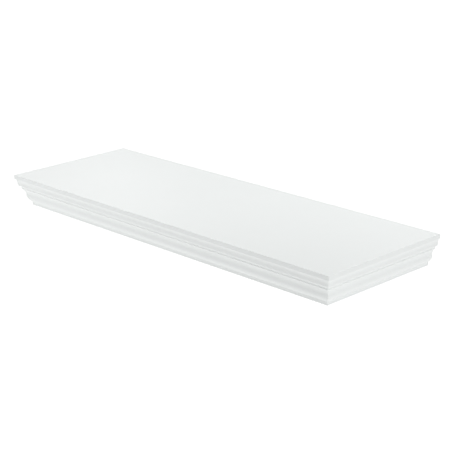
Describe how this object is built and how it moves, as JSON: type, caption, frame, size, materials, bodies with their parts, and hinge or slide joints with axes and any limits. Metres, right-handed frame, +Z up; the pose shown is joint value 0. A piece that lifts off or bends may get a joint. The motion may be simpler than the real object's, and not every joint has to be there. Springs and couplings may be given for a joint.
{
  "type": "floating wall shelf",
  "caption": "Floating wall shelf with a mitred crown moulding on its front and ends, hollow on a rail frame, sliding onto a rod bracket fixed to the wall and locked by grub screws from below.",
  "frame": {"origin": "middle of the wall plate's rear face, on the wall plane and level with the rods' axes", "axes": "+X along the shelf's length, +Y into the wall, so the shelf stands out at negative Y, +Z up"},
  "size_m": [0.914, 0.305, 0.068],
  "materials": {
    "white_lacquer": "white satin lacquer on fibreboard",
    "white_foil": "white foil on thin fibreboard",
    "raw_fibreboard": "bare fibreboard",
    "beech": "bare beech",
    "zinc_plated_steel": "bright zinc plating",
    "weld_metal": "plated weld bead",
    "brass": "turned brass",
    "blackened_steel": "black oxide"
  },
  "bodies": {
    "bracket": {"bracket_plate": "zinc_plated_steel", "support_rod_1": "zinc_plated_steel", "support_rod_2": "zinc_plated_steel", "support_rod_3": "zinc_plated_steel", "support_rod_4": "zinc_plated_steel", "rod_welds": "weld_metal"},
    "shelf": {"top_panel": "white_lacquer", "bottom_panel": "white_foil", "front_moulding": "white_lacquer", "left_moulding": "white_lacquer", "right_moulding": "white_lacquer", "back_rail": "raw_fibreboard", "mid_rail": "raw_fibreboard", "rib_1": "raw_fibreboard", "rib_2": "raw_fibreboard", "rib_3": "raw_fibreboard", "rib_4": "raw_fibreboard", "rib_5": "raw_fibreboard", "corner_block_left": "raw_fibreboard", "corner_block_right": "raw_fibreboard", "mitre_biscuit_left": "beech", "mitre_biscuit_right": "beech", "back_rail_dowels": "beech", "mid_rail_dowels": "beech", "rib_dowels": "beech", "lock_block_left": "beech", "lock_block_right": "beech", "lock_insert_left": "brass", "lock_insert_right": "brass"},
    "lock_screw_left": {"lock_screw_left": "blackened_steel"},
    "lock_screw_right": {"lock_screw_right": "blackened_steel"}
  },
  "joints": [
    {"name": "shelf_slide", "type": "slide", "parent": "bracket", "child": "shelf", "axis": [0, -1, 0], "range_m": [0, 0.24]},
    {"name": "lock_screw_left_travel", "type": "slide", "parent": "shelf", "child": "lock_screw_left", "axis": [0, 0, -1], "range_m": [0, 0.005]},
    {"name": "lock_screw_right_travel", "type": "slide", "parent": "shelf", "child": "lock_screw_right", "axis": [0, 0, -1], "range_m": [0, 0.005]}
  ]
}
